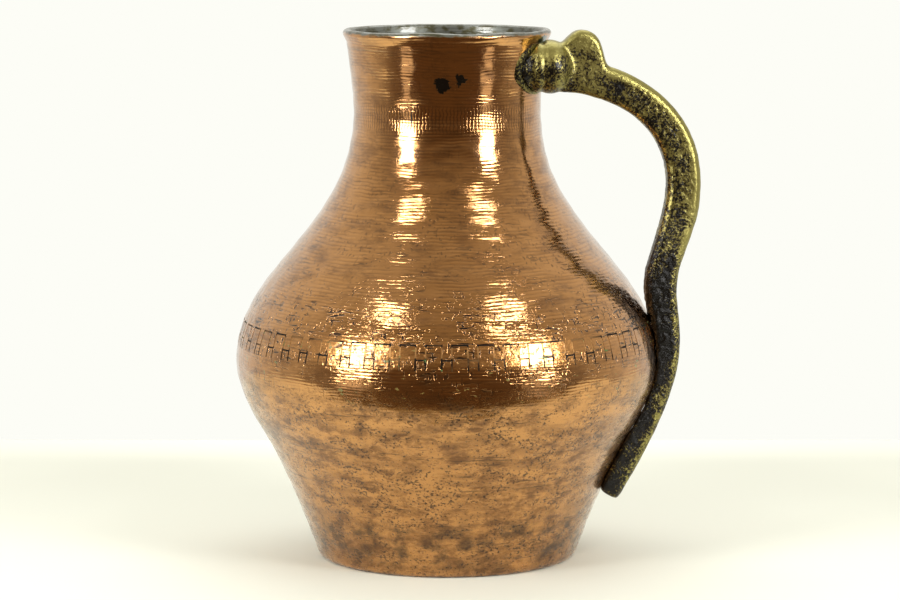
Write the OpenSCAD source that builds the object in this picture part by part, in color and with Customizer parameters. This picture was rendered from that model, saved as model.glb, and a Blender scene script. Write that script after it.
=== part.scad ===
// Copper water jug with a cast brass handle.
// The vessel is raised from two sheets of copper that meet in a brazed, tabbed joint
// around the belly. It stands on z = 0 with its axis on Z, and the handle leaves along +X.

/* [Vessel] */
// Height to the top of the rolled rim
body_h = 351; // [345:1:357]
// Radius of the foot
base_r = 85.5; // [80:0.5:90]
// Largest radius, at the belly
belly_r = 140.4; // [136:0.2:144]
// Height of the widest point
belly_z = 131; // [127:1:135]
// Smallest radius, at the neck
neck_r = 61.8; // [60:0.2:63]
// Height of the narrowest point
neck_z = 298; // [294:1:302]
// Outer radius of the rolled rim
rim_r = 68.8; // [68:0.2:70]
// Thickness of the copper sheet
wall_t = 1.6; // [1.2:0.1:2]
// Thickness of the tin coat inside
lining_t = 0.4; // [0.3:0.1:0.5]

/* [Belly seam] */
// Number of tabs around the joint
tab_count = 52; // [40:4:60]
// Width of one tab
tab_w = 9.2; // [7:0.2:10]
// Height of the upper sheet's edge
edge_z = 150.6; // [148:0.2:152]
// How far a tab laps above that edge
tab_rise = 8.2; // [6:0.2:9]
// How far the slits beside a tab run below that edge
slit_drop = 7; // [5:0.5:8]
// Width of the brazed line
braze_w = 0.8; // [0.6:0.1:1]

/* [Handle] */
// Height of the handle's root on the neck
root_z = 327.6; // [326:0.2:328]
// Sideways offset of the handle's plane, where it crosses the vessel's axis
handle_y = -34.1; // [-36:0.1:-32]
// Turn of the handle's plane about the vertical
handle_yaw = 7; // [5:1:9]
// Sideways thickness of the arm
arm_t = 16; // [14:1:18]
// Chamfer along the arm's edges
arm_chamfer = 3.2; // [2:0.2:4]
// Largest radius of the turned root
root_r = 17.8; // [17:0.2:18]
// Radius of the tenon that passes through the neck
tenon_r = 5; // [4:0.5:6]

/* [Fixings] */
// Thickness of the saddle flange between root and neck
flange_t = 1.5; // [1.2:0.1:2]
// Radius of the saddle flange
flange_r = 18; // [17.5:0.1:18.4]
// Radius of the rivet behind the tail
rivet_r = 3; // [2:0.5:4]
// Thickness of the roves inside the vessel
rove_t = 1.8; // [1.4:0.2:2.2]
// Radius of the wire inside the rolled rim
wire_r = 1.4; // [1.2:0.1:1.6]

/* [Hidden] */
$fn = 96;

COPPER = "#b87348";
PALE_COPPER = "#c08a62";
BRAZE = "#b58f4e";
TIN = "#8d908d";
IRON = "#5b5550";
DARK_BRASS = "#4a3f22";
OLD_BRASS = "#8c8438";

CURVE_STEPS = 9;
FOOT_ROUND = 4;
RUNNING_GAP = 0.1;
WALL_REACH = 28;
CLEARANCE = 10;
FAR = 400;

// ---- Curves ----

// Point on a cubic curve
function cubic(p, t) =
    pow(1 - t, 3) * p[0] + 3 * pow(1 - t, 2) * t * p[1] + 3 * (1 - t) * t * t * p[2] + t * t * t * p[3];

// Points of a cubic curve, without its first point
function curve(p, steps = CURVE_STEPS) = [for (i = [1 : steps]) cubic(p, i / steps)];

// Point part of the way from a to b
function mix(a, b, t) = a + (b - a) * t;

// The points of a list in the opposite order
function reversed(points) = [for (i = [len(points) - 1 : -1 : 0]) points[i]];

// Right-hand normal of a line of points at point i
function normal_at(points, i) =
    let (
        ahead = points[min(i + 1, len(points) - 1)],
        behind = points[max(i - 1, 0)],
        along = ahead - behind
    ) [along[1], -along[0]] / norm(along);

// A line of points moved sideways by d, outward when d is positive
function moved_out(points, d) = [for (i = [0 : len(points) - 1]) points[i] + d * normal_at(points, i)];

// ---- Vessel profile, as radius and height ----

flank = [mix(base_r, belly_r, 0.67), 0.646 * belly_z];
foot = [base_r + 0.36 * FOOT_ROUND, FOOT_ROUND];
throat = [neck_r + 4.4, body_h - 8];

foot_curve = curve([[base_r - FOOT_ROUND, 0], [base_r - 1, 0], [base_r + 0.4, 1.4], foot], 4);
cone_curve = curve([foot, [mix(base_r, belly_r, 0.19), 0.22 * belly_z],
                    [mix(base_r, belly_r, 0.41), 0.453 * belly_z], flank]);
belly_curve = curve([flank, [mix(flank[0], belly_r, 0.535), 0.766 * belly_z],
                     [belly_r, 0.895 * belly_z], [belly_r, belly_z]]);
shoulder_curve = curve([[belly_r, belly_z], [belly_r, belly_z + 64], [neck_r, neck_z - 80.5], [neck_r, neck_z]], 20);
neck_curve = curve([[neck_r, neck_z], [neck_r, neck_z + 14], [throat[0] - 1.8, throat[1] - 14], throat], 6);

outer_line = concat([[base_r - FOOT_ROUND, 0]], foot_curve, cone_curve, belly_curve, shoulder_curve, neck_curve);

// Solid of revolution of a skin between two offsets of the outside
module skin(outer, inner) {
    outside = moved_out(outer_line, outer);
    inside = moved_out(outer_line, inner);
    rotate_extrude()
        polygon(concat([[0, -outer]], outside, reversed(inside), [[0, -inner]]));
}

// The closed shape of the vessel, grown outward and carried straight up past the rim
module vessel_shape(grow) {
    outside = moved_out(outer_line, grow);
    top = outside[len(outside) - 1];
    rotate_extrude()
        polygon(concat([[0, -grow]], outside, [[top[0], body_h + CLEARANCE], [0, body_h + CLEARANCE]]));
}

// A disc that holds everything between two heights
module slab(z0, z1) {
    translate([0, 0, z0])
        cylinder(r = belly_r + CLEARANCE, h = z1 - z0);
}

// ---- Belly seam ----

tab_top = edge_z + tab_rise;
slit_z = edge_z - slit_drop;
block_depth = 3 * CLEARANCE;

// A ring of upright blocks, one at each tab
module tab_blocks(w, z0, z1) {
    for (i = [0 : tab_count - 1])
        rotate([0, 0, (i + 0.5) * 360 / tab_count])
            translate([belly_r + CLEARANCE - block_depth, -w / 2, z0])
                cube([block_depth, w, z1 - z0]);
}

module lower_body() {
    color(PALE_COPPER)
    difference() {
        intersection() {
            skin(0, -wall_t);
            union() {
                slab(-1, edge_z - braze_w);
                tab_blocks(tab_w, slit_z, tab_top);
            }
        }
        difference() {
            tab_blocks(tab_w + 2 * braze_w, slit_z, edge_z);
            tab_blocks(tab_w, slit_z - 1, edge_z + 1);
        }
        tail_axis() cylinder(r = rivet_r + RUNNING_GAP, h = WALL_REACH, center = true);
    }
}

module upper_body() {
    color(COPPER)
    difference() {
        union() {
            intersection() {
                skin(0, -wall_t);
                slab(edge_z, body_h);
            }
            rolled_rim();
        }
        tab_blocks(tab_w + 2 * braze_w, edge_z - 1, tab_top + braze_w);
        root_axis() cylinder(r = tenon_r + RUNNING_GAP, h = belly_r);
    }
}

module belly_seam_braze() {
    color(BRAZE)
    intersection() {
        skin(0, -wall_t);
        difference() {
            union() {
                slab(edge_z - braze_w, edge_z);
                tab_blocks(tab_w + 2 * braze_w, slit_z, tab_top + braze_w);
            }
            tab_blocks(tab_w, slit_z - 1, tab_top);
        }
    }
}

// ---- Rim ----

wire_gap = 0.05;
curl_r = wire_r + wire_gap + 0.75 * wall_t;
curl_at = [rim_r - curl_r, body_h - curl_r];

// The sheet's edge rolled outward over the wire, and the flare that carries it
module rolled_rim() {
    rotate_extrude()
    difference() {
        union() {
            translate(curl_at) circle(r = curl_r, $fn = 32);
            polygon([throat, throat + [-wall_t, 0], curl_at + [-curl_r, 0], curl_at]);
        }
        translate(curl_at) circle(r = wire_r + wire_gap, $fn = 32);
    }
}

module rim_wire() {
    color(IRON)
    rotate_extrude()
        translate(curl_at) circle(r = wire_r, $fn = 32);
}

module tin_lining() {
    color(TIN)
    difference() {
        skin(-wall_t, -wall_t - lining_t);
        root_axis() cylinder(r = tenon_r + RUNNING_GAP, h = belly_r);
        tail_axis() cylinder(r = rivet_r + RUNNING_GAP, h = WALL_REACH, center = true);
    }
}

// ---- Handle ----

// Outline of the arm in the handle's plane, as distance from the axis and height. Each stretch
// gives the outer edge, the inner edge and the number of stations along them.
arm_stretches = [
    // Thumb lobe, rising from the turned root
    [[[75, 343], [79, 346], [83, 351.8], [88, 351.8]], [[75, 311], [78, 311], [81, 310.8], [84.5, 310.4]], 5],
    // Lobe, falling to the notch
    [[[88, 351.8], [104, 351.8], [101, 333], [106, 328]], [[84.5, 310.4], [89, 309.8], [93, 308.8], [97, 307.3]], 8],
    // The quarter turn of the grip
    [[[106, 328], [128, 321], [168, 300], [168, 250]], [[97, 307.3], [118, 302], [145.6, 285], [145.6, 250]], 14],
    // The waist of the S
    [[[168, 250], [168, 216], [152.3, 205], [152.3, 179]], [[145.6, 250], [145.6, 226], [131.2, 200], [131.2, 184]], 10],
    // Landing on the belly
    [[[152.3, 179], [152.3, 171], [155, 160], [155, 145]], [[131.2, 184], [131.2, 172], [136, 160], [136, 145]], 5],
    // The tail down the lower body
    [[[155, 145], [155, 111], [130.8, 69.5], [115.5, 44]], [[136, 145], [136, 125], [116, 80], [100.5, 50]], 11],
];
tail_tip = [[113, 40.6], [104.6, 44.6]];
tip_t = 0.7 * arm_t;

outer_edge = concat([arm_stretches[0][0][0]], [for (s = arm_stretches) each curve(s[0], s[2])], [tail_tip[0]]);
inner_edge = concat([arm_stretches[0][1][0]], [for (s = arm_stretches) each curve(s[1], s[2])], [tail_tip[1]]);

// The eight corners of the arm's section between an outer and an inner point
function arm_section(outer, inner, thick) =
    let (
        c = arm_chamfer,
        along = (inner - outer) / norm(inner - outer),
        corners = [[0, thick / 2 - c], [c, thick / 2], [-c, thick / 2], [0, thick / 2 - c],
                   [0, c - thick / 2], [-c, -thick / 2], [c, -thick / 2], [0, c - thick / 2]]
    ) [for (i = [0 : 7])
        let (
            from_outer = i < 2 || i > 5,
            at = (from_outer ? outer : inner) + along * corners[i][0]
        ) [at[0], corners[i][1], at[1]]];

// A closed tube through rings of equally many points
module tube(rings) {
    n = len(rings[0]);
    last = len(rings) - 1;
    sides = [for (r = [0 : last - 1], i = [0 : n - 1], half = [0 : 1])
        half == 0
            ? [r * n + i, r * n + (i + 1) % n, (r + 1) * n + (i + 1) % n]
            : [r * n + i, (r + 1) * n + (i + 1) % n, (r + 1) * n + i]];
    polyhedron(
        points = [for (ring = rings) each ring],
        faces = concat(sides, [[for (i = [n - 1 : -1 : 0]) i]], [[for (i = [0 : n - 1]) last * n + i]]),
        convexity = 6
    );
}

// Places its children in the handle's plane, with X outward
module handle_plane() {
    translate([0, handle_y, 0])
        rotate([0, 0, handle_yaw])
            children();
}

// Places its children on the tenon's axis, with Z outward
module root_axis() {
    handle_plane()
        translate([0, 0, root_z])
            rotate([0, 90, 0])
                children();
}

// Stations of the turned root along its axis
root_start = 40;
bead_start = 55.5;
bead_end = 61.6;
ball_start = 62.6;
ball_end = 75.6;
root_end = 81;
root_end_r = 9;

tenon_start = 48;
tenon_l = 22;
peen_h = 2.6;
peen_spread = 1.8;

tail_at = belly_r * 0.995;
rivet_inward = 4;
rivet_outward = 7;
rivet_head = 1.6;

neck_rove_r = tenon_r + 3.4;
tail_rove_r = rivet_r + 4;

// Heights between which the neck, and below which the belly, cuts the handle to fit
neck_cut_z = neck_z - 10;
belly_cut_z = neck_z - 50;

// Places its children on the tail rivet's axis where it crosses the wall, with Z outward
module tail_axis() {
    handle_plane()
        translate([tail_at, 0, belly_z])
            rotate([0, 90, 0])
                children();
}

module arm() {
    last = len(outer_edge) - 1;
    handle_plane()
        tube([for (i = [0 : last]) arm_section(outer_edge[i], inner_edge[i], i == last ? tip_t : arm_t)]);
}

// The turned root: a flared foot, a bead, a groove and a ball, as radius and distance
module root() {
    root_axis()
    rotate_extrude()
        polygon(concat(
            [[0, root_start], [root_r - 0.4, root_start], [root_r - 1.4, root_start + 10], [root_r - 2.3, bead_start]],
            curve([[root_r - 2.3, bead_start], [root_r + 0.2, bead_start + 0.8],
                   [root_r + 0.2, bead_end - 1], [root_r - 2, bead_end]], 5),
            curve([[root_r - 2, ball_start], [root_r + 0.8, ball_start + 1.4],
                   [root_r + 0.6, ball_end - 3.6], [root_r - 2.6, ball_end]], 7),
            [[root_end_r, root_end], [0, root_end]]
        ));
}

// The tenon, with its end peened over the rove inside the neck
module tenon() {
    root_axis() {
        translate([0, 0, tenon_start]) cylinder(r = tenon_r, h = tenon_l);
        translate([0, 0, tenon_start - peen_h]) cylinder(r1 = tenon_r, r2 = tenon_r + peen_spread, h = peen_h);
    }
}

module handle() {
    color(OLD_BRASS)
    union() {
        difference() {
            union() {
                root();
                arm();
            }
            intersection() {
                vessel_shape(flange_t);
                slab(neck_cut_z, body_h);
            }
            intersection() {
                vessel_shape(RUNNING_GAP);
                slab(0, belly_cut_z);
            }
            tail_axis() cylinder(r = rivet_r, h = rivet_outward);
        }
        tenon();
    }
}

module neck_flange() {
    color(DARK_BRASS)
    difference() {
        intersection() {
            root_axis() cylinder(r = flange_r, h = FAR);
            skin(flange_t, 0);
        }
        root_axis() cylinder(r = tenon_r, h = FAR);
    }
}

// ---- Fixings inside the vessel ----

// A washer that follows the tinned wall, with a hole on its axis
module rove_skin() {
    skin(-wall_t - lining_t, -wall_t - lining_t - rove_t);
}

module neck_rove() {
    color(COPPER)
    difference() {
        intersection() {
            rove_skin();
            root_axis() cylinder(r = neck_rove_r, h = FAR);
        }
        root_axis() cylinder(r = tenon_r, h = FAR);
    }
}

module tail_rivet() {
    color(OLD_BRASS)
    tail_axis() {
        translate([0, 0, -rivet_inward]) cylinder(r = rivet_r, h = rivet_inward + rivet_outward);
        translate([0, 0, -rivet_inward - rivet_head])
            cylinder(r1 = rivet_r, r2 = rivet_r + rivet_head, h = rivet_head);
    }
}

module tail_rove() {
    color(COPPER)
    difference() {
        intersection() {
            rove_skin();
            tail_axis() cylinder(r = tail_rove_r, h = WALL_REACH, center = true);
        }
        tail_axis() cylinder(r = rivet_r, h = WALL_REACH, center = true);
    }
}

lower_body();
upper_body();
belly_seam_braze();
rim_wire();
tin_lining();
neck_flange();
handle();
neck_rove();
tail_rivet();
tail_rove();
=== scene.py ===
"""Looks of a hand-raised copper water jug with a cast brass handle, built round its CAD frame.

Lengths in the dataclasses are millimetres. The scene is in metres.
"""

import logging
import math
from dataclasses import dataclass, field
from enum import Enum
from functools import lru_cache
from typing import NamedTuple, Optional, Sequence, Union

import bmesh
import bpy
from mathutils import Matrix, Vector, noise
from mathutils.kdtree import KDTree


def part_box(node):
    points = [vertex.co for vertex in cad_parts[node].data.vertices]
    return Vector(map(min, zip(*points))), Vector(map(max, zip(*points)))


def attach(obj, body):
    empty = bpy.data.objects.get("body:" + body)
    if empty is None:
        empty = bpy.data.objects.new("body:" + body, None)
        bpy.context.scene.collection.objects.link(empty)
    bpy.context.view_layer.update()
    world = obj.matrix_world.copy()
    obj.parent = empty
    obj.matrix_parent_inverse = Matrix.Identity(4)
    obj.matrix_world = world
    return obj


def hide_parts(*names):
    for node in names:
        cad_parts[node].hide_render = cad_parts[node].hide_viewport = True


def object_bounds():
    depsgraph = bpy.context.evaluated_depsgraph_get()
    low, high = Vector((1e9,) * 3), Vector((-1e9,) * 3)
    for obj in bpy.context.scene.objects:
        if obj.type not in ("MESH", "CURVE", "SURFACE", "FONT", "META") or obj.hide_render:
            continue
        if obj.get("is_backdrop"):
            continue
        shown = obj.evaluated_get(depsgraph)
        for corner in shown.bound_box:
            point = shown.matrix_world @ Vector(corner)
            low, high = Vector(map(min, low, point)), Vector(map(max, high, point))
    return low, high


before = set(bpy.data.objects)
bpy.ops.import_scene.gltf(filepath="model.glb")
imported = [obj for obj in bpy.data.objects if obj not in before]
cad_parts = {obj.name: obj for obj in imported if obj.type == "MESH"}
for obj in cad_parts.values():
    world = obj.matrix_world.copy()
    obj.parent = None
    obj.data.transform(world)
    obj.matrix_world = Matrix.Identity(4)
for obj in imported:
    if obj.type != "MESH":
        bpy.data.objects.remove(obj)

log = logging.getLogger("jug")

MM = 0.001  # one millimetre, in metres
PER_METRE = 1000.0  # millimetres in a metre
FULL_TURN = 2 * math.pi
ON_AXIS = 0.01  # radius in millimetres up to which a point counts as on the vessel's axis
TINY = 1e-9  # keeps a division by a length of nothing from failing
BODY = "root"

Point = tuple[float, float]
Band = tuple[float, float]
Colour = tuple[float, float, float, float]
Tree = bpy.types.NodeTree
Socket = bpy.types.NodeSocket


# ---------------------------------------------------------------- colours and patterns


def linear(hex_colour: str) -> Colour:
    """Turns an sRGB hex colour into linear RGBA.

    Args:
        hex_colour: Six hex digits after a hash sign.

    Returns:
        Linear red, green, blue and an alpha of 1.
    """
    channels = [int(hex_colour[i : i + 2], 16) / 255 for i in (1, 3, 5)]
    red, green, blue = (c / 12.92 if c <= 0.04045 else ((c + 0.055) / 1.055) ** 2.4 for c in channels)
    return red, green, blue, 1.0


def add(tree: Tree, kind: str, inputs: Optional[dict] = None, **settings) -> bpy.types.Node:
    """Adds a node with its settings, values and links.

    Args:
        tree: The node tree that gets the node.
        kind: Type name of the node, without "ShaderNode".
        inputs: Socket name or number to a value, or to a pattern or output socket that is linked in.
        **settings: Attributes of the node.

    Returns:
        The new node.
    """
    node = tree.nodes.new("ShaderNode" + kind)
    for name, value in settings.items():
        setattr(node, name, value)
    for key, value in (inputs or {}).items():
        source = value.socket if isinstance(value, Pattern) else value
        if isinstance(source, Socket):
            tree.links.new(source, node.inputs[key])
        else:
            node.inputs[key].default_value = source
    return node


@dataclass(frozen=True)
class Pattern:
    """A number that varies over a surface, with the arithmetic that combines such numbers."""

    tree: Tree
    socket: Socket

    def combine(self, operation: str, *others: "Union[Pattern, float]") -> "Pattern":
        """Combines this pattern with others by an operation of arithmetic.

        Args:
            operation: Name of the operation.
            *others: Patterns or plain numbers.

        Returns:
            The result.
        """
        node = add(self.tree, "Math", dict(enumerate([self, *others])), operation=operation)
        return Pattern(self.tree, node.outputs[0])

    def __add__(self, other: "Union[Pattern, float]") -> "Pattern":
        """Sum of the two."""
        return self.combine("ADD", other)

    def __sub__(self, other: "Union[Pattern, float]") -> "Pattern":
        """This one less the other."""
        return self.combine("SUBTRACT", other)

    def __mul__(self, other: "Union[Pattern, float]") -> "Pattern":
        """Product of the two."""
        return self.combine("MULTIPLY", other)

    def __truediv__(self, other: "Union[Pattern, float]") -> "Pattern":
        """This one over the other."""
        return self.combine("DIVIDE", other)

    def most(self, other: "Pattern") -> "Pattern":
        """The larger of the two at each point."""
        return self.combine("MAXIMUM", other)

    def sine(self) -> "Pattern":
        """Sine of this pattern, read as radians."""
        return self.combine("SINE")

    def step(self, low: float, high: float, to_low: float = 0.0, to_high: float = 1.0) -> "Pattern":
        """Steps smoothly from one number to another as this pattern rises.

        Args:
            low: Level at and below which the result is to_low.
            high: Level at and above which the result is to_high.
            to_low: Result at the low level.
            to_high: Result at the high level.

        Returns:
            The stepped pattern.
        """
        levels = {"Value": self, "From Min": low, "From Max": high, "To Min": to_low, "To Max": to_high}
        node = add(self.tree, "MapRange", levels, interpolation_type="SMOOTHSTEP")
        return Pattern(self.tree, node.outputs[0])

    def band(self, low: float, high: float, soft: float) -> "Pattern":
        """Makes a mask that is 1 between two levels and falls to 0 over a soft edge.

        Args:
            low: Lower end of the band.
            high: Upper end of the band.
            soft: Width of the soft edge.

        Returns:
            The mask.
        """
        rise = self.step(low - soft / 2, low + soft / 2)
        fall = self.step(high - soft / 2, high + soft / 2, 1.0, 0.0)
        return rise * fall

    def fade(self, first: "Pattern", second: "Pattern") -> "Pattern":
        """Mixes two patterns, with this one as the share of the second.

        Args:
            first: What shows where this pattern is 0.
            second: What shows where this pattern is 1.

        Returns:
            The mixed pattern.
        """
        node = add(self.tree, "Mix", {0: self, 2: first, 3: second}, data_type="FLOAT")
        return Pattern(self.tree, node.outputs[0])

    def blend(self, first: Union[Socket, str], second: Union[Socket, str]) -> Socket:
        """Mixes two colours, with this pattern as the share of the second.

        Args:
            first: Hex colour or socket that shows where this pattern is 0.
            second: Hex colour or socket that shows where this pattern is 1.

        Returns:
            The socket that carries the colour.
        """
        colours = [linear(c) if isinstance(c, str) else c for c in (first, second)]
        return add(self.tree, "Mix", {0: self, 6: colours[0], 7: colours[1]}, data_type="RGBA").outputs[2]


class Finish:
    """A finish with its own material, whose nodes a subclass builds."""

    name: str

    def material(self) -> bpy.types.Material:
        """Makes this finish's material, or finds it if it is made already.

        Returns:
            The material.
        """
        known = bpy.data.materials.get(self.name)
        if known is not None:
            return known
        made = bpy.data.materials.new(self.name)
        made.use_nodes = True
        tree = made.node_tree
        tree.nodes.clear()
        shader = self.build(tree)
        add(tree, "OutputMaterial", {"Surface": shader.outputs[0]})
        return made

    def build(self, tree: Tree) -> bpy.types.Node:
        """Builds the nodes and returns the shader node."""
        raise NotImplementedError


def along(tree: Tree, axis: str) -> Pattern:
    """Distance from the object's origin along axis "X", "Y" or "Z", in millimetres."""
    at = add(tree, "SeparateXYZ", {0: add(tree, "TexCoord").outputs["Object"]})
    return Pattern(tree, at.outputs[axis]) * PER_METRE


def grain(tree: Tree, size: Sequence[float], detail: float = 2.0, rough: float = 0.5,
          warp: float = 0.0) -> Pattern:
    """A noise pattern whose grains have a real size.

    Args:
        tree: The node tree.
        size: Size of a grain along X, Y and Z, in millimetres.
        detail: How many finer octaves are laid over it.
        rough: How strong the finer octaves are.
        warp: How far the pattern is pulled about.

    Returns:
        The pattern, from 0 to 1.
    """
    scale = [PER_METRE / s for s in size]
    at = add(tree, "Mapping", {"Vector": add(tree, "TexCoord").outputs["Object"], "Scale": scale})
    noise_node = add(tree, "TexNoise", {"Vector": at.outputs[0], "Scale": 1.0, "Detail": detail,
                                        "Roughness": rough, "Distortion": warp})
    return Pattern(tree, noise_node.outputs["Fac"])


# ---------------------------------------------------------------- the vessel's form


def cubic(p: Sequence[Point], t: float) -> Point:
    """Point on a cubic curve.

    Args:
        p: The curve's four control points.
        t: Place along it, from 0 to 1.

    Returns:
        The point.
    """
    weights = ((1 - t) ** 3, 3 * (1 - t) ** 2 * t, 3 * (1 - t) * t * t, t ** 3)
    return sum(w * q[0] for w, q in zip(weights, p)), sum(w * q[1] for w, q in zip(weights, p))


def mix(a: float, b: float, t: float) -> float:
    """Value part of the way from a to b."""
    return a + (b - a) * t


@dataclass(frozen=True)
class VesselForm:
    """The vessel's outside as radius against height, with the same curves as the CAD."""

    height: float
    belly_r: float
    foot_r: float = 85.5
    belly_z: float = 131.0
    neck_r: float = 61.8
    neck_z: float = 298.0
    rim_r: float = 68.8
    curl_r: float = 2.65
    foot_round: float = 4.0
    flare_out: float = 4.4
    flare_drop: float = 8.0

    @classmethod
    def from_frame(cls) -> "VesselForm":
        """Reads the height and the belly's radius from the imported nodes.

        Returns:
            The form.
        """
        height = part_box("upper_body")[1].z / MM
        belly_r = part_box("lower_body")[1].x / MM
        return cls(height=round(height, 1), belly_r=round(belly_r, 1))

    @property
    def throat(self) -> Point:
        """Where the neck ends and the flare into the rim begins."""
        return self.neck_r + self.flare_out, self.height - self.flare_drop

    def stretches(self) -> list[list[Point]]:
        """Control points of the curves that the outside is drawn with.

        Returns:
            Four points each for the foot, cone, lower belly, shoulder and neck.
        """
        flank = (mix(self.foot_r, self.belly_r, 0.67), 0.646 * self.belly_z)
        foot = (self.foot_r + 0.36 * self.foot_round, self.foot_round)
        throat = self.throat
        return [
            [(self.foot_r - self.foot_round, 0), (self.foot_r - 1, 0), (self.foot_r + 0.4, 1.4), foot],
            [foot, (mix(self.foot_r, self.belly_r, 0.19), 0.22 * self.belly_z),
             (mix(self.foot_r, self.belly_r, 0.41), 0.453 * self.belly_z), flank],
            [flank, (mix(flank[0], self.belly_r, 0.535), 0.766 * self.belly_z),
             (self.belly_r, 0.895 * self.belly_z), (self.belly_r, self.belly_z)],
            [(self.belly_r, self.belly_z), (self.belly_r, self.belly_z + 64),
             (self.neck_r, self.neck_z - 80.5), (self.neck_r, self.neck_z)],
            [(self.neck_r, self.neck_z), (self.neck_r, self.neck_z + 14),
             (throat[0] - 1.8, throat[1] - 14), throat],
        ]

    @lru_cache(maxsize=None)
    def line(self, step_mm: float = 0.25) -> list[Point]:
        """The whole outside from the foot to the throat.

        Args:
            step_mm: Rough distance from one point to the next, in millimetres.

        Returns:
            Closely spaced points.
        """
        points: list[Point] = []
        for p in self.stretches():
            count = max(4, int((abs(p[3][1] - p[0][1]) + abs(p[3][0] - p[0][0])) / step_mm))
            points += [cubic(p, i / count) for i in range(count)]
        return points + [self.throat]

    def between(self, low: float, high: float, spacing: float) -> list[Point]:
        """Evenly spaced points of the outside between two heights.

        Args:
            low: Height of the first point.
            high: Height of the last point.
            spacing: Largest distance between points along the curve.

        Returns:
            The points, with both ends.
        """
        inside = [p for p in self.line() if low < p[1] < high]
        ends = [(self.radius(low), low), *inside, (self.radius(high), high)]
        lengths = [0.0]
        for a, b in zip(ends, ends[1:]):
            lengths.append(lengths[-1] + math.dist(a, b))
        count = max(1, math.ceil(lengths[-1] / spacing))
        result, k = [], 0
        for i in range(count + 1):
            want = lengths[-1] * i / count
            while k < len(lengths) - 2 and lengths[k + 1] < want:
                k += 1
            share = (want - lengths[k]) / max(lengths[k + 1] - lengths[k], TINY)
            below, above = ends[k], ends[k + 1]
            result.append((mix(below[0], above[0], share), mix(below[1], above[1], share)))
        return result

    def radius(self, z: float) -> float:
        """Finds the outside radius at a height.

        Args:
            z: The height.

        Returns:
            The radius.
        """
        line = self.line()
        for a, b in zip(line, line[1:]):
            if a[1] <= z <= b[1]:
                return mix(a[0], b[0], (z - a[1]) / max(b[1] - a[1], TINY))
        return line[-1][0] if z > line[-1][1] else line[0][0]


@dataclass(frozen=True)
class HammerWork:
    """How far the hammer leaves the sheet from its true form, in millimetres."""

    swell: float = 0.42
    swell_size: float = 34.0
    facet: float = 0.16
    facet_size: float = 11.0
    facet_squash: float = 1.6
    row: float = 0.10
    row_pitch: float = 13.0
    row_wander: float = 4.0

    def depth(self, at: Vector) -> float:
        """How far a point of the sheet lies proud of the true form.

        Args:
            at: The point, in millimetres.

        Returns:
            The distance away from the axis, in millimetres.
        """
        slow = noise.noise(at / self.swell_size)
        flat = Vector((at.x, at.y, at.z * self.facet_squash)) / self.facet_size
        fine = noise.noise(flat + Vector((7.1, 3.3, 1.9)))
        rings = math.sin(FULL_TURN * (at.z + self.row_wander * slow) / self.row_pitch)
        return self.swell * slow + self.facet * fine + self.row * rings


@dataclass(frozen=True)
class Seam:
    """The tabbed joint around the belly."""

    tabs: int = 52
    tab_w: float = 9.2
    line_w: float = 1.0
    edge_z: float = 150.6
    tab_rise: float = 8.2
    slit_drop: float = 7.0
    tab_steps: int = 3
    gap_steps: int = 2

    @property
    def steps_in_pitch(self) -> int:
        """Columns of the mesh from one tab to the next."""
        return self.tab_steps + self.gap_steps + 2

    @property
    def columns(self) -> int:
        """Columns of the mesh round the whole vessel."""
        return self.tabs * self.steps_in_pitch

    @property
    def top(self) -> float:
        """Height of the tabs' ends."""
        return self.edge_z + self.tab_rise

    @property
    def slit(self) -> float:
        """Height of the slits' lower ends."""
        return self.edge_z - self.slit_drop

    def angle(self, column: int, radius: float) -> float:
        """Angle of a mesh column, so that columns fall on the edges of the tabs.

        Args:
            column: Number of the column.
            radius: Radius of the seam.

        Returns:
            The angle in radians.
        """
        pitch = FULL_TURN / self.tabs
        tab, line = self.tab_w / radius, self.line_w / radius
        gap = pitch - tab - 2 * line
        edges = [tab * i / self.tab_steps for i in range(self.tab_steps + 1)]
        edges += [tab + line + gap * i / self.gap_steps for i in range(self.gap_steps + 1)]
        turn, place_in_pitch = divmod(column, self.steps_in_pitch)
        return pitch * (turn + 0.5) - tab / 2 + edges[place_in_pitch]

    def kind(self, column: int) -> str:
        """Tells what lies to the right of a mesh column.

        Args:
            column: Number of the column.

        Returns:
            "tab", "line" or "gap".
        """
        place_in_pitch = column % self.steps_in_pitch
        if place_in_pitch < self.tab_steps:
            return "tab"
        if place_in_pitch == self.tab_steps or place_in_pitch == self.steps_in_pitch - 1:
            return "line"
        return "gap"


class SheetPart(Enum):
    """The three pieces that the vessel's outside is divided into."""

    LOWER = "lower_body"
    UPPER = "upper_body"
    BRAZE = "belly_seam_braze"

    @property
    def piece_name(self) -> str:
        """Name of the piece that stands for this node."""
        return "seam_line" if self is SheetPart.BRAZE else "copper_" + self.value


def finish_mesh(bm: bmesh.types.BMesh, name: str, finish: Finish, node: str) -> bpy.types.Object:
    """Makes a piece from a finished bmesh, dresses it and puts it in its node's place.

    Args:
        bm: The mesh in metres, which is freed.
        name: Name of the piece.
        finish: Its finish.
        node: The CAD node that it stands for.

    Returns:
        The new object.
    """
    mesh = bpy.data.meshes.new(name)
    bm.to_mesh(mesh)
    bm.free()
    mesh.shade_smooth()
    piece = bpy.data.objects.new(name, mesh)
    bpy.context.scene.collection.objects.link(piece)
    mesh.materials.append(finish.material())
    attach(piece, BODY)
    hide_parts(node)
    log.info("%s: %d faces", name, len(mesh.polygons))
    return piece


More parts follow.
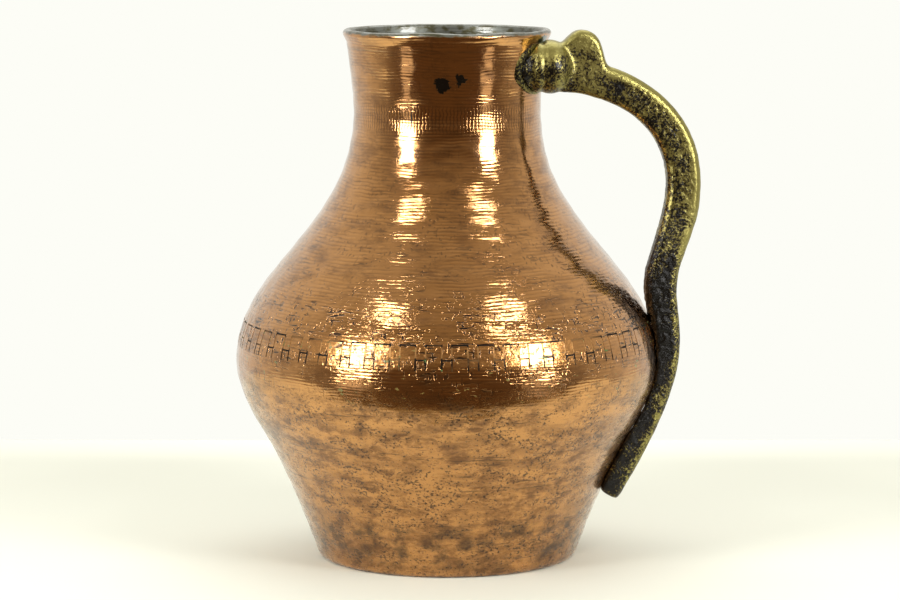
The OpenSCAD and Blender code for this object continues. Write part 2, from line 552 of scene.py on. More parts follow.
@dataclass
class CopperShell:
    """The two raised sheets and the brazed line between them."""

    form: VesselForm
    seam: Seam = field(default_factory=Seam)
    hammer: HammerWork = field(default_factory=HammerWork)
    spacing: float = 1.75
    sheet: float = 1.2
    line_depth: float = 0.2
    rim_wave: float = 0.9
    rim_wave_size: float = 30.0
    rim_reach: float = 30.0
    foot_ease: float = 6.0
    rim_ease: float = 8.0
    floor_rings: int = 12
    corner_rings: int = 5
    slit_rows: int = 4
    tab_rows: int = 5
    curl_from: int = -35
    curl_to: int = 180
    curl_step: int = 18
    weld: float = 1e-4

    def seam_rows(self) -> list[float]:
        """Spaces the mesh rows through the seam.

        Returns:
            Height of each row.
        """
        s = self.seam
        low = [mix(s.slit, s.edge_z - s.line_w, i / self.slit_rows) for i in range(self.slit_rows + 1)]
        high = [mix(s.edge_z, s.top, i / self.tab_rows) for i in range(self.tab_rows + 1)]
        return [*low, *high, s.top + s.line_w]

    def profile(self, part: SheetPart) -> list[Point]:
        """Half outline of one piece, from its lower to its upper end.

        Args:
            part: Which piece.

        Returns:
            Radius and height of each mesh row.
        """
        form, seam = self.form, self.seam
        joint = [(form.radius(z), z) for z in self.seam_rows()]
        if part is SheetPart.BRAZE:
            return joint
        if part is SheetPart.LOWER:
            flat_r = form.foot_r - form.foot_round
            floor = [(flat_r * i / self.floor_rings, 0.0) for i in range(self.floor_rings)]
            corner = [cubic(form.stretches()[0], i / self.corner_rings) for i in range(self.corner_rings)]
            cone = form.between(form.foot_round, seam.slit, self.spacing)
            return floor + corner + cone + joint[1:-1]
        neck = form.between(seam.top + seam.line_w, form.throat[1], self.spacing)
        return joint[self.slit_rows + 1:] + neck[1:] + self.lip()

    def lip(self) -> list[Point]:
        """Rounds the rolled rim and turns down into the mouth.

        Returns:
            Radius and height of each mesh row.
        """
        form = self.form
        r, z = form.rim_r - form.curl_r, form.height - form.curl_r
        turn = [math.radians(a) for a in range(self.curl_from, self.curl_to, self.curl_step)]
        roll = [(r + form.curl_r * math.cos(a), z + form.curl_r * math.sin(a)) for a in turn]
        throat_r, throat_z = form.throat
        return roll + [(throat_r - 1.9, throat_z - 1), (throat_r - 2.2, throat_z - 6)]

    def keep(self, part: SheetPart, kind: str, z: float) -> bool:
        """Whether a face belongs to a piece.

        Args:
            part: Which piece.
            kind: What its column is, from Seam.kind.
            z: Height of the face's middle.

        Returns:
            True if the piece has the face.
        """
        s = self.seam
        under_edge = z < s.edge_z - s.line_w
        if part is SheetPart.LOWER:
            return z < s.slit or (kind == "tab" and z < s.top) or (kind == "gap" and under_edge)
        if part is SheetPart.UPPER:
            return z > s.top + s.line_w or (kind == "gap" and z > s.edge_z)
        if kind == "tab":
            return z > s.top
        if kind == "gap":
            return s.edge_z - s.line_w < z < s.edge_z
        return True

    def build(self, part: SheetPart, finish: Finish, slot: str) -> bpy.types.Object:
        """Spins, cuts and hammers one piece.

        Args:
            part: Which piece.
            finish: Its finish.
            slot: Not used.

        Returns:
            The new object.
        """
        seam = self.seam
        inset = self.line_depth if part is SheetPart.BRAZE else 0.0
        bm = bmesh.new()
        line = [bm.verts.new((r, 0, z)) for r, z in self.profile(part)]
        edges = [bm.edges.new(pair) for pair in zip(line, line[1:])]
        bmesh.ops.spin(bm, geom=line + edges, cent=(0, 0, 0), axis=(0, 0, 1), angle=FULL_TURN,
                       steps=seam.columns, use_merge=True, use_duplicate=False)
        bmesh.ops.remove_doubles(bm, verts=bm.verts, dist=self.weld)
        bmesh.ops.recalc_face_normals(bm, faces=bm.faces)
        spare = []
        for face in bm.faces:
            at = face.calc_center_median()
            turn = math.atan2(at.y, at.x) / FULL_TURN % 1
            if not self.keep(part, seam.kind(int(turn * seam.columns)), at.z):
                spare.append(face)
        bmesh.ops.delete(bm, geom=spare, context="FACES")
        self.turn_columns(bm)
        self.strike(bm, inset)
        for edge in bm.edges:
            edge.smooth = not edge.is_boundary
        bmesh.ops.scale(bm, vec=(MM, MM, MM), verts=bm.verts)
        piece = finish_mesh(bm, part.piece_name, finish, part.value)
        wall = piece.modifiers.new("sheet", "SOLIDIFY")
        wall.thickness = (self.sheet - inset) * MM
        wall.offset = -1
        return piece

    def turn_columns(self, bm: bmesh.types.BMesh) -> None:
        """Moves the evenly spun columns so that they fall on the tabs' edges.

        Args:
            bm: The mesh, in millimetres.
        """
        seam = self.seam
        seam_r = self.form.radius(seam.edge_z)
        for vert in bm.verts:
            flat = math.hypot(vert.co.x, vert.co.y)
            if flat < ON_AXIS:
                continue
            turn = math.atan2(vert.co.y, vert.co.x) / FULL_TURN % 1
            angle = seam.angle(round(turn * seam.columns) % seam.columns, seam_r)
            vert.co.x = flat * math.cos(angle)
            vert.co.y = flat * math.sin(angle)

    def strike(self, bm: bmesh.types.BMesh, inset: float) -> None:
        """Moves every point away from the axis or towards it, as the hammer left it, and waves the rim.

        Args:
            bm: The mesh, in millimetres.
            inset: How far the whole piece lies below the sheets, in millimetres.
        """
        top = self.form.height
        for vert in bm.verts:
            out = Vector((vert.co.x, vert.co.y, 0))
            down = max(0.0, top - vert.co.z)
            ease = min(1.0, vert.co.z / self.foot_ease) * min(1.0, down / self.rim_ease)
            outward = out.normalized() if out.length > ON_AXIS else Vector()
            near_rim = max(0.0, 1 - (top - vert.co.z) / self.rim_reach)
            vert.co.z += self.rim_wave * near_rim * noise.noise(out / self.rim_wave_size)
            vert.co += outward * (ease * self.hammer.depth(vert.co) - inset)


# ---------------------------------------------------------------- the handle's form


@dataclass(frozen=True)
class ArmOutline:
    """Outer and inner edge of the arm in the handle's plane, as distance from the axis and height."""

    outer: tuple[tuple[Point, ...], ...] = (
        ((75, 343), (79, 346), (83, 351.8), (88, 351.8)),
        ((88, 351.8), (104, 351.8), (101, 333), (106, 328)),
        ((106, 328), (128, 321), (168, 300), (168, 250)),
        ((168, 250), (168, 216), (152.3, 205), (152.3, 179)),
        ((152.3, 179), (152.3, 171), (155, 160), (155, 145)),
        ((155, 145), (155, 111), (130.8, 69.5), (115.5, 44)),
    )
    inner: tuple[tuple[Point, ...], ...] = (
        ((75, 311), (78, 311), (81, 310.8), (84.5, 310.4)),
        ((84.5, 310.4), (89, 309.8), (93, 308.8), (97, 307.3)),
        ((97, 307.3), (118, 302), (145.6, 285), (145.6, 250)),
        ((145.6, 250), (145.6, 226), (131.2, 200), (131.2, 184)),
        ((131.2, 184), (131.2, 172), (136, 160), (136, 145)),
        ((136, 145), (136, 125), (116, 80), (100.5, 50)),
    )

    def stations(self, steps: int = 24) -> list[tuple[Vector, Vector]]:
        """Pairs of an outer and an inner point all along the arm.

        Args:
            steps: Stations on each stretch.

        Returns:
            The pairs, in millimetres.
        """
        return [(Vector(cubic(o, i / steps)), Vector(cubic(p, i / steps)))
                for o, p in zip(self.outer, self.inner) for i in range(steps)]


@dataclass
class CastHandle:
    """The cast arm, with the soft edges and pits of a sand casting."""

    outline: ArmOutline = field(default_factory=ArmOutline)
    offset: float = -34.1
    yaw: float = 7.0
    voxel: float = 0.85
    rounding: int = 10
    lump: float = 0.22
    lump_size: float = 9.0
    pit: float = 0.45
    pit_size: float = 2.4
    bend_z: float = 165.0
    bend_reach: float = 50.0
    grit: float = 0.9
    grit_size: float = 3.4
    pit_pull: float = 0.5
    pit_level: float = 0.08
    rubbed: float = 0.3
    weld: float = 1e-6

    def merged(self, node: str) -> bpy.types.Mesh:
        """An even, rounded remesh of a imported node.

        Args:
            node: Name of the node.

        Returns:
            The new mesh, in metres.
        """
        bm = bmesh.new()
        bm.from_mesh(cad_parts[node].data)
        bmesh.ops.remove_doubles(bm, verts=bm.verts, dist=self.weld)
        mesh = bpy.data.meshes.new("rough_casting")
        bm.to_mesh(mesh)
        bm.free()
        rough = bpy.data.objects.new("rough_casting", mesh)
        bpy.context.scene.collection.objects.link(rough)
        remesh = rough.modifiers.new("even", "REMESH")
        remesh.mode = "VOXEL"
        remesh.voxel_size = self.voxel * MM
        even = bpy.data.meshes.new_from_object(rough.evaluated_get(bpy.context.evaluated_depsgraph_get()))
        bpy.data.objects.remove(rough)
        return even

    def build(self, finish: Finish) -> bpy.types.Object:
        """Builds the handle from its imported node.

        Args:
            finish: Its finish.

        Returns:
            The new object.
        """
        bm = bmesh.new()
        bm.from_mesh(self.merged("handle"))
        bmesh.ops.scale(bm, vec=(PER_METRE, PER_METRE, PER_METRE), verts=bm.verts)
        for _ in range(self.rounding):
            bmesh.ops.smooth_vert(bm, verts=bm.verts, factor=0.5, use_axis_x=True, use_axis_y=True,
                                  use_axis_z=True)
        bmesh.ops.recalc_face_normals(bm, faces=bm.faces)
        self.mark_across(bm)
        self.pit_surface(bm)
        bmesh.ops.scale(bm, vec=(MM, MM, MM), verts=bm.verts)
        return finish_mesh(bm, "cast_handle", finish, "handle")

    def mark_across(self, bm: bmesh.types.BMesh) -> None:
        """Stores how far across the arm each point lies, from 0 at the outer edge to 1 at the inner.

        Args:
            bm: The mesh, in millimetres.
        """
        layer = bm.verts.layers.float.new("across")
        turn = Matrix.Rotation(math.radians(self.yaw), 4, "Z")
        into_plane = (Matrix.Translation((0, self.offset, 0)) @ turn).inverted()
        stations = self.outline.stations()
        tree = KDTree(len(stations))
        for i, (outer, inner) in enumerate(stations):
            tree.insert(((outer + inner) / 2).to_3d(), i)
        tree.balance()
        for vert in bm.verts:
            flat = into_plane @ vert.co
            at = Vector((flat.x, flat.z))
            outer, inner = stations[tree.find(at.to_3d())[1]]
            span = inner - outer
            vert[layer] = min(1.0, max(0.0, (at - outer).dot(span) / span.length_squared))

    def pit_surface(self, bm: bmesh.types.BMesh) -> None:
        """Sinks pits and soft lumps into the surface, fewer where the outer edge is rubbed smooth.

        Args:
            bm: The mesh, in millimetres.
        """
        layer = bm.verts.layers.float["across"]
        bm.normal_update()
        for vert in bm.verts:
            lumps = noise.noise(vert.co / self.lump_size)
            pits = noise.noise(vert.co / self.pit_size) + self.pit_pull * lumps
            kept = min(1.0, vert[layer] / self.rubbed)
            bend = max(0.0, 1 - abs(vert.co.z - self.bend_z) / self.bend_reach)
            grit = self.grit * bend * kept * noise.noise(vert.co / self.grit_size)
            sunk = self.pit * kept * max(0.0, pits - self.pit_level)
            vert.co += vert.normal * (self.lump * lumps + grit - sunk)


# ---------------------------------------------------------------- finishes


def radius_of(tree: Tree) -> Pattern:
    """Distance from the vessel's axis, in millimetres.

    Args:
        tree: The node tree.

    Returns:
        The distance at each point.
    """
    at = add(tree, "TexCoord").outputs["Object"]
    flat = add(tree, "VectorMath", {0: at, 1: (PER_METRE, PER_METRE, 0)}, operation="MULTIPLY")
    length = add(tree, "VectorMath", {0: flat.outputs[0]}, operation="LENGTH")
    return Pattern(tree, length.outputs["Value"])


def spot(tree: Tree, at: Sequence[float], size: Sequence[float], ragged: float = 0.5) -> Pattern:
    """A mask that is 1 at one place on the object, with a ragged edge.

    Args:
        tree: The node tree.
        at: The place, in millimetres.
        size: Half width along X, Y and Z, in millimetres.
        ragged: How far the edge wanders.

    Returns:
        The mask.
    """
    coordinates = add(tree, "TexCoord").outputs["Object"]
    scale = [PER_METRE / s for s in size]
    shift = [-a / s for a, s in zip(at, size)]
    local = add(tree, "Mapping", {"Vector": coordinates, "Scale": scale, "Location": shift})
    length = add(tree, "VectorMath", {0: local.outputs[0]}, operation="LENGTH")
    edge = grain(tree, (2.8, 2.8, 2.8), detail=4.0, rough=0.65)
    wander = (edge - 0.5) * (2 * ragged)
    return (Pattern(tree, length.outputs["Value"]) + wander).step(0.85, 1.1, 1.0, 0.0)


def hammer_rows(tree: Tree, pitch: float, wander: float) -> Pattern:
    """Level rows left by the planishing hammer, as a wave from 0 to 1.

    Args:
        tree: The node tree.
        pitch: Height from one row to the next, in millimetres.
        wander: How far the rows stray, in rows.

    Returns:
        The wave.
    """
    stray = grain(tree, (45.0, 45.0, 26.0), detail=3.0) * wander
    phase = along(tree, "Z") / pitch + stray
    return (phase * FULL_TURN).sine() * 0.5 + 0.5


def hammer_columns(tree: Tree, count: int, wander: float) -> Pattern:
    """Upright marks all round the vessel, as a wave from 0 to 1.

    Args:
        tree: The node tree.
        count: How many marks go round.
        wander: How far the marks stray, in radians of the wave.

    Returns:
        The wave.
    """
    turn = along(tree, "Y").combine("ARCTAN2", along(tree, "X"))
    stray = grain(tree, (7.0, 7.0, 3.0), detail=2.0) * wander
    return (turn * float(count) + stray).sine().step(0.0, 1.0)


def chisel_ticks(tree: Tree, near: Pattern) -> Pattern:
    """Short cuts in the sheet, upright and level, in crowds.

    Args:
        tree: The node tree.
        near: How many there are at each place.

    Returns:
        A mask of the cuts.
    """
    upright = grain(tree, (1.8, 1.8, 6.0), detail=1.0).step(0.6, 0.68)
    level = grain(tree, (9.0, 9.0, 1.4), detail=1.0).step(0.6, 0.68)
    crowd = grain(tree, (19.0, 19.0, 9.0), detail=3.0).step(0.36, 0.56)
    return upright.most(level) * (crowd * near)


class Surface(NamedTuple):
    """What one kind of work leaves on a sheet."""

    colour: Socket
    rough: Pattern
    level: Pattern


@dataclass(frozen=True)
class CopperSheet(Finish):
    """Copper sheet planished in level rows above the belly's edge and scoured smooth below it.

    The bands are heights above the foot, in millimetres.
    """

    name: str
    bright: str = "#c89051"
    brown: str = "#69421d"
    umber: str = "#3a2816"
    green: str = "#4c7440"
    teal: str = "#33564e"
    black: str = "#15110d"
    tin: str = "#70736c"
    olive: str = "#4c4a35"
    wax: float = 0.8
    row_pitch: float = 2.1
    row_stray: float = 3.0
    weave_marks: int = 169
    weave_stray: float = 7.0
    height: float = 351.0
    mouth_r: Band = (64.8, 66.0)
    weave: Band = (287, 303)
    ticked: Band = (139, 184)
    shoulder: Band = (200, 280)
    deep_ticks: Band = (176, 206)
    dimpled: Band = (141, 180)
    joint: Band = (144, 163)
    salted: Band = (122, 160)
    work_line: Band = (122, 152)
    rings: tuple[Band, ...] = ((64.0, 64.7), (87.5, 88.0))
    foot: Band = (6, 38)

    def planished(self, tree: Tree, z: Pattern) -> Surface:
        """Rows of hammer marks with brown oxide in their hollows.

        Args:
            tree: The node tree.
            z: Height in millimetres.

        Returns:
            The surface.
        """
        worked = grain(tree, (20.0, 20.0, 8.0), detail=3.0).step(0.36, 0.6, 0.2, 1.0)
        rows = hammer_rows(tree, self.row_pitch, self.row_stray) * worked
        crowded = z.band(*self.ticked, soft=24).most(z.step(*self.shoulder, 0.55, 0.2))
        ticks = chisel_ticks(tree, crowded)
        weave = hammer_columns(tree, self.weave_marks, self.weave_stray) * z.band(*self.weave, soft=7)
        # The streaks are about three times as coarse as the sheet's real grain, so that they show.
        streaks = grain(tree, (30.0, 30.0, 0.9), detail=3.0, rough=0.6)
        dimples = grain(tree, (5.0, 5.0, 3.6), detail=2.0) * z.band(*self.dimpled, soft=20)
        tick_depth = z.step(*self.deep_ticks, 1.5, 0.45)
        level = (rows + streaks) * 0.5 - ticks * tick_depth - weave * 0.35
        patches = grain(tree, (24.0, 24.0, 8.0), detail=6.0, rough=0.66, warp=0.4)
        hollow = rows.step(0.05, 0.5, 0.32, 0.0) * worked
        colour = patches.step(0.42, 0.72, 0.0, 0.65).blend(self.bright, self.brown)
        colour = hollow.blend(colour, self.brown)
        colour = (weave * 0.55).blend(colour, self.brown)
        colour = (ticks * 0.85).blend(colour, self.black)
        return Surface(colour, patches.step(0.4, 0.75, 0.09, 0.23), dimples * 2.6 + level)

    def scoured(self, tree: Tree, z: Pattern) -> Surface:
        """A dull level grain, with pits, scribed rings, and old oxide in blotches near the foot.

        Args:
            tree: The node tree.
            z: Height in millimetres.

        Returns:
            The surface.
        """
        streaks = grain(tree, (30.0, 30.0, 1.1), detail=3.0, rough=0.6)
        pits = grain(tree, (1.9, 1.9, 1.5), detail=3.0, rough=0.6)
        crowd = grain(tree, (17.0, 17.0, 11.0), detail=3.0).step(0.35, 0.65, 0.0, 0.1)
        pitted = (pits + crowd).step(0.61, 0.71)
        cuts = grain(tree, (22.0, 22.0, 1.2), detail=2.0).step(0.64, 0.72, 0.0, 0.8)
        broken = grain(tree, (15.0, 15.0, 15.0), detail=3.0).step(0.42, 0.6)
        wander = grain(tree, (40.0, 40.0, 40.0), detail=2.0) * 5.0 + z
        lower_ring, upper_ring = (wander.band(*ring, soft=1.2) for ring in self.rings)
        marks = pitted.most(cuts).most(lower_ring.most(upper_ring) * broken)
        patches = grain(tree, (15.0, 15.0, 8.0), detail=8.0, rough=0.74, warp=0.2)
        broad = grain(tree, (40.0, 40.0, 7.0), detail=4.0).step(0.45, 0.65, 0.0, 0.4)
        blots = grain(tree, (13.0, 13.0, 10.0), detail=6.0, rough=0.66).step(0.42, 0.66, 0.0, 0.8)
        colour = patches.step(0.42, 0.66, 0.0, 0.85).blend(self.bright, self.brown)
        colour = broad.blend(colour, self.brown)
        colour = (z.band(*self.foot, soft=20) * blots).blend(colour, self.umber)
        colour = (marks * 0.85).blend(colour, self.umber)
        return Surface(colour, patches.step(0.35, 0.7, 0.22, 0.38), marks * -0.55 + streaks * 0.45)

    def stains(self, tree: Tree) -> Pattern:
        """Two dark stains on the front of the neck and a short crack below them.

        Args:
            tree: The node tree.

        Returns:
            A mask of the three.
        """
        left = spot(tree, (-3, -63, 318), (5, 14, 5), 1.3)
        right = spot(tree, (9, -63, 321), (3.5, 14, 4), 1.5)
        crack = spot(tree, (-23, -57, 296), (0.6, 14, 5.5), 0.3)
        return left.most(right).most(crack)

    def tinned(self, tree: Tree, z: Pattern) -> Pattern:
        """Tin inside the mouth and on the top of the rolled rim, where its edge is worn.

        Args:
            tree: The node tree.
            z: Height in millimetres.

        Returns:
            A mask of the tin.
        """
        inside = radius_of(tree).step(*self.mouth_r, 1.0, 0.0) * z.step(self.height - 13, self.height - 12)
        worn = grain(tree, (5.0, 5.0, 3.0), detail=2.0) * 3.0 + z
        return inside.most(worn.step(self.height - 1.4, self.height + 0.2))

    def build(self, tree: Tree) -> bpy.types.Node:
        """Rows break each highlight into level streaks, and a thin old wax whitens it.

        Args:
            tree: The node tree.

        Returns:
            The shader node.
        """
        z = along(tree, "Z")
        above = (grain(tree, (30.0, 30.0, 12.0)) * 24.0 + z).step(*self.work_line)
        rows, smooth = self.planished(tree, z), self.scoured(tree, z)
        salts = grain(tree, (8.0, 8.0, 4.5), detail=4.0, rough=0.62).step(0.64, 0.69)
        salts = salts * z.band(*self.salted, soft=10)
        stains, tinned = self.stains(tree), self.tinned(tree, z)
        grime = grain(tree, (7.0, 7.0, 4.0), detail=4.0, rough=0.62).step(0.42, 0.62)
        colour = above.blend(smooth.colour, rows.colour)
        colour = (salts * 0.6).blend(colour, self.green)
        colour = stains.blend(colour, self.black)
        colour = spot(tree, (62, -24, 345), (7, 9, 3), 0.9).blend(colour, self.teal)
        colour = tinned.blend(colour, grime.blend(self.tin, self.olive))
        rough = above.fade(smooth.rough, rows.rough).most(tinned * 0.48)
        rough = rough + (stains * 0.3 + z.band(*self.joint, soft=9) * 0.12)
        level = above.fade(smooth.level, rows.level)
        fine = add(tree, "Bump", {"Strength": 1.0, "Distance": 0.11 * MM, "Height": level})
        bump = add(tree, "Bump", {"Strength": 1.0, "Distance": 0.22 * MM, "Normal": fine.outputs[0],
                                  "Height": grain(tree, (9.0, 9.0, 7.0), detail=1.0)})
        return add(tree, "BsdfPrincipled", {
            "Base Color": colour, "Metallic": salts * -0.7 + 1.0, "Roughness": rough,
            "Coat Weight": self.wax, "Coat Roughness": 0.14,
            "Normal": bump.outputs[0], "Coat Normal": bump.outputs[0]})


@dataclass(frozen=True)
class Spelter(Finish):
    """Brass run into the joint, hammered flush with the copper and dark with dirt in places."""

    name: str = "brazing_brass_in_the_joint"
    brass: str = "#b98a55"
    dirt: str = "#140d07"
    green: str = "#5f7a4a"
    flush: Band = (151.5, 158.0)

    def build(self, tree: Tree) -> bpy.types.Node:
        """The line is nearly lost in the copper, dark where dirt holds and spotted with green salts.

        Args:
            tree: The node tree.

        Returns:
            The shader node.
        """
        patchy = grain(tree, (19.0, 19.0, 9.0), detail=3.0).step(0.36, 0.54, 0.6, 1.0)
        held = patchy * (along(tree, "Z").band(*self.flush, soft=1.0) * -0.8 + 1.0)
        salts = grain(tree, (7.0, 7.0, 5.0), detail=3.0).step(0.62, 0.67)
        colour = salts.blend(held.blend(self.brass, self.dirt), self.green)
        return add(tree, "BsdfPrincipled", {"Base Color": colour, "Metallic": held * -0.8 + 0.95,
                                            "Roughness": 0.45, "Specular IOR Level": 0.15})


@dataclass(frozen=True)
class WipedTin(Finish):
    """Tin wiped on hot with a cloth, gone grey."""

    name: str = "tin_wiped_on_copper"
    dark: str = "#3a3b33"
    light: str = "#73756a"
    copper: str = "#6a4f3c"

    def build(self, tree: Tree) -> bpy.types.Node:
        """Cloth marks run round the wall, and copper shows warm where the tin is thin.

        Args:
            tree: The node tree.

        Returns:
            The shader node.
        """
        # Marks of a cloth are about a millimetre apart, and are drawn coarser so that they show.
        streaks = grain(tree, (22.0, 22.0, 3.0), detail=5.0, rough=0.62)
        thin = grain(tree, (11.0, 11.0, 6.0), detail=4.0).step(0.5, 0.66, 0.0, 0.7)
        colour = thin.blend(streaks.step(0.3, 0.7).blend(self.dark, self.light), self.copper)
        bump = add(tree, "Bump", {"Strength": 1.0, "Distance": 0.3 * MM, "Height": streaks})
        return add(tree, "BsdfPrincipled", {"Base Color": colour, "Metallic": 0.8, "Roughness": 0.5,
                                            "Normal": bump.outputs[0]})


@dataclass(frozen=True)
class DrawnIron(Finish):
    """Drawn iron wire with a skin of scale."""

    name: str = "iron_wire_drawn"

    def build(self, tree: Tree) -> bpy.types.Node:
        """Scale leaves the wire dull and nearly black. Its die lines are too fine to show."""
        colour = grain(tree, (4.0, 4.0, 4.0), detail=3.0).blend("#3a3632", "#5d544c")
        return add(tree, "BsdfPrincipled", {"Base Color": colour, "Metallic": 0.8, "Roughness": 0.55})


@dataclass(frozen=True)
class OldCastBrass(Finish):
    """Sand-cast brass: pitted and dark on its faces, rubbed smooth along its outer edge by the hand.

    Root and lobe are distances from the vessel's axis and the other bands are heights, in millimetres.
    """

    name: str = "brass_sand_cast_aged"
    olive: str = "#928a4e"
    brown: str = "#554a2c"
    black: str = "#0d0b07"
    soil: float = 0.03
    root_soil: float = 0.14
    root: Band = (50, 58)
    lobe: Band = (72, 106)
    lobe_foot: Band = (250, 300)
    smooth_pits: Band = (215, 245)
    grip: Band = (90, 170)
    bend: Band = (132, 206)
    tail: Band = (120, 215)

    def build(self, tree: Tree) -> bpy.types.Node:
        """Black dirt sits in the pits, the lower half is nearly all black and the rubbed edge is clean.

        Args:
            tree: The node tree.

        Returns:
            The shader node.
        """
        z, x = along(tree, "Z"), along(tree, "X")
        across = Pattern(tree, add(tree, "Attribute", attribute_name="across").outputs["Fac"])
        pits = grain(tree, (1.5, 1.5, 1.5), detail=3.0, rough=0.66)
        clouds = grain(tree, (11.0, 11.0, 11.0), detail=3.0)
        rubbed = across.step(0.16, 0.4, 1.0, 0.0) * z.step(*self.grip, 0.06, 0.2)
        lobe = x.band(*self.lobe, soft=14) * z.step(*self.lobe_foot, 0.0, 0.05)
        root = x.step(*self.root, self.soil + self.root_soil, self.soil)
        bend = z.band(*self.bend, soft=34) * 0.16
        tail = z.step(*self.tail, 1.0, 0.0) * across.step(0.1, 0.6, 0.04, 0.13)
        dirt = clouds * 0.55 + pits - (rubbed + lobe) + root + (bend + tail)
        colour = dirt.step(0.68, 0.82, 0.0, 0.85).blend(self.olive, self.brown)
        colour = dirt.step(0.79, 0.85).blend(colour, self.black)
        depth = z.step(*self.smooth_pits, 0.55 * MM, 0.25 * MM)
        bump = add(tree, "Bump", {"Strength": 1.0, "Distance": depth, "Height": pits})
        return add(tree, "BsdfPrincipled", {
            "Base Color": colour, "Metallic": dirt.step(0.74, 0.9, 0.85, 0.4),
            "Roughness": dirt.step(0.68, 0.86, 0.3, 0.26), "Normal": bump.outputs[0]})


@dataclass(frozen=True)
class PaleFloorWithPaintedGlow(Finish):
    """Matt paint on the table top, with painted light: it glows along its back edge."""

    name: str = "pale_floor_with_painted_glow"
    colour: str = "#e3e6da"
    painted_glow: float = 0.22
    painted_glow_y: Band = (330, 445)

    def build(self, tree: Tree) -> bpy.types.Node:
        """A matt, warm white, with a painted glow of light that brightens it towards its back edge, where
        it meets the wall.

        Args:
            tree: The node tree.

        Returns:
            The shader node.
        """
        # Painted light: the board emits light, more towards its back edge, so that its far part looks as
        # brightly lit as the rest.
        painted_glow = along(tree, "Y").step(*self.painted_glow_y, 0.0, self.painted_glow)
        return add(tree, "BsdfPrincipled", {"Base Color": linear(self.colour), "Roughness": 0.8,
                                            "Emission Color": linear(self.colour),
                                            "Emission Strength": painted_glow})


# ---------------------------------------------------------------- the studio


@dataclass(frozen=True)
class SoftBox:
    """A softbox that faces the jug."""

    name: str
    azimuth: float
    elevation: float
    width: float
    height: float
    power: float
    distance: float = 1500.0

    def hang(self, target: Vector) -> None:
        """Hangs the light and turns it to the target.

        Args:
            target: The point that it faces, in metres.
        """
        a, e = math.radians(self.azimuth), math.radians(self.elevation)
        away = Vector((math.sin(a) * math.cos(e), -math.cos(a) * math.cos(e), math.sin(e)))
        data = bpy.data.lights.new(self.name, "AREA")
        data.shape = "RECTANGLE"
        data.size = self.width * MM
        data.size_y = self.height * MM
        data.energy = self.power
        lamp = bpy.data.objects.new(self.name, data)
        lamp.location = target + away * self.distance * MM
        lamp.rotation_euler = (-away).to_track_quat("-Z", "Y").to_euler()
        lamp.visible_camera = False
        bpy.context.scene.collection.objects.link(lamp)


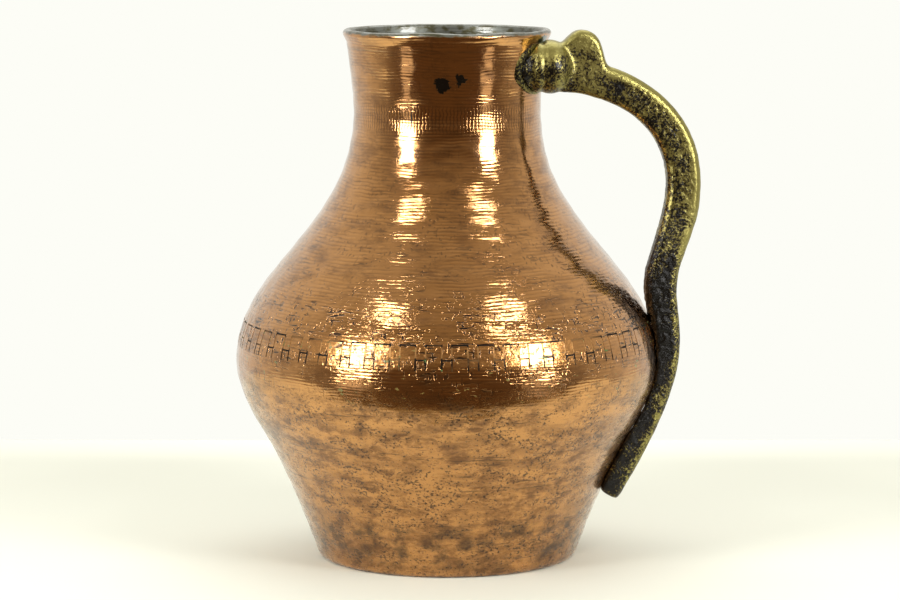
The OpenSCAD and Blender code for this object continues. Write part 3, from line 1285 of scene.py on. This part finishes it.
@dataclass
class Studio:
    """Camera, pale table, light room behind the jug and dark room in front of it."""

    camera_distance: float = 2252.0
    camera_height: float = 462.0
    camera_side: float = 2.0
    pitch: float = 7.37
    lens: float = 136.4
    sensor: float = 36.0
    nearest: float = 100.0
    farthest: float = 20000.0
    table_back: float = 445.0
    table_front: float = -240.0
    table_end: float = -1500.0
    table_half: float = 1100.0
    seen: str = "#fdfdf6"
    behind: str = "#f6f3ea"
    front_low: str = "#6c563f"
    front_high: str = "#b0a491"
    boxes: tuple[SoftBox, ...] = (
        SoftBox("left_low", -49, 16, 440, 560, 15),
        SoftBox("right_low", 49, 16, 440, 560, 15),
        SoftBox("left_high", -44, 50, 460, 110, 3),
        SoftBox("right_high", 44, 50, 460, 110, 3),
        SoftBox("left_spill", -49, -9, 330, 420, 0.45),
        SoftBox("right_spill", 49, -9, 330, 420, 0.45),
        SoftBox("overhead", 180, 62, 1500, 900, 8.5),
    )

    def build(self) -> None:
        """Sets up the whole studio."""
        self.camera()
        self.table()
        self.room()
        low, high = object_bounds()
        middle = (low + high) / 2
        for box in self.boxes:
            box.hang(Vector((0, 0, middle.z)))
        bpy.context.scene.view_settings.view_transform = "Standard"

    def camera(self) -> None:
        """Places the camera."""
        data = bpy.data.cameras.new("camera")
        data.lens = self.lens
        data.sensor_width = self.sensor
        data.clip_start, data.clip_end = self.nearest * MM, self.farthest * MM
        cam = bpy.data.objects.new("camera", data)
        cam.location = (self.camera_side * MM, -self.camera_distance * MM, self.camera_height * MM)
        cam.rotation_euler = (math.radians(90 - self.pitch), 0, 0)
        bpy.context.scene.collection.objects.link(cam)
        bpy.context.scene.camera = cam

    def table(self) -> None:
        """Lays the pale table top. The jug mirrors the board under it, and not the board before it."""
        self.board("table", self.table_front, self.table_back)
        unmirrored = self.board("table_end", self.table_end, self.table_front)
        unmirrored.visible_glossy = False
        unmirrored.visible_diffuse = False
        unmirrored.visible_shadow = False

    def board(self, name: str, front: float, back: float) -> bpy.types.Object:
        """Lays one board of the table top.

        Args:
            name: Name of the board.
            front: Y of its front edge, in millimetres.
            back: Y of its back edge, in millimetres.

        Returns:
            The new object.
        """
        bm = bmesh.new()
        bmesh.ops.create_grid(bm, x_segments=1, y_segments=1, size=1)
        bmesh.ops.scale(bm, vec=(self.table_half * MM, (back - front) / 2 * MM, 1), verts=bm.verts)
        bmesh.ops.translate(bm, vec=(0, (back + front) / 2 * MM, 0), verts=bm.verts)
        mesh = bpy.data.meshes.new(name)
        bm.to_mesh(mesh)
        bm.free()
        mesh.materials.append(PaleFloorWithPaintedGlow().material())
        board = bpy.data.objects.new(name, mesh)
        bpy.context.scene.collection.objects.link(board)
        board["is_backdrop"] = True
        return board

    def room(self) -> None:
        """Lights the room: a white wall behind the jug, a dark room before it, white to the camera."""
        world = bpy.data.worlds.new("room")
        bpy.context.scene.world = world
        world.use_nodes = True
        tree = world.node_tree
        tree.nodes.clear()
        way = add(tree, "SeparateXYZ", {0: add(tree, "TexCoord").outputs["Generated"]}).outputs
        front = Pattern(tree, way["Z"]).step(-0.05, 0.85).blend(self.front_low, self.front_high)
        room = Pattern(tree, way["Y"]).step(-0.68, 0.5).blend(front, self.behind)
        ray = Pattern(tree, add(tree, "LightPath").outputs["Is Camera Ray"])
        ground = add(tree, "Background", {"Color": ray.blend(room, self.seen),
                                          "Strength": ray.step(0.0, 1.0, 0.95, 1.0)})
        add(tree, "OutputWorld", {"Surface": ground.outputs[0]})


def main() -> None:
    """Builds the studio and the jug's sub-assemblies in order."""
    logging.basicConfig(level=logging.INFO, format="%(name)s %(message)s")
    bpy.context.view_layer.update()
    Studio().build()
    shell = CopperShell(VesselForm.from_frame())
    shell.build(SheetPart.LOWER, CopperSheet("copper_sheet_scoured"), "worn_copper")
    shell.build(SheetPart.UPPER, CopperSheet("copper_sheet_planished_in_rows"), "hammered_copper")
    shell.build(SheetPart.BRAZE, Spelter(), "braze")
    CastHandle().build(OldCastBrass())
    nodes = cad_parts
    dressed = {
        "neck_flange": OldCastBrass(name="brass_flange_dark", soil=0.12),
        "tail_rivet": OldCastBrass(),
        "tin_lining": WipedTin(),
        "neck_rove": WipedTin(),
        "tail_rove": WipedTin(),
        "rim_wire": DrawnIron(),
    }
    for name, finish in dressed.items():
        nodes[name].data.materials.clear()
        nodes[name].data.materials.append(finish.material())
        log.info("%s: finished in %s", name, finish.name)


if __name__ == "__main__":
    main()
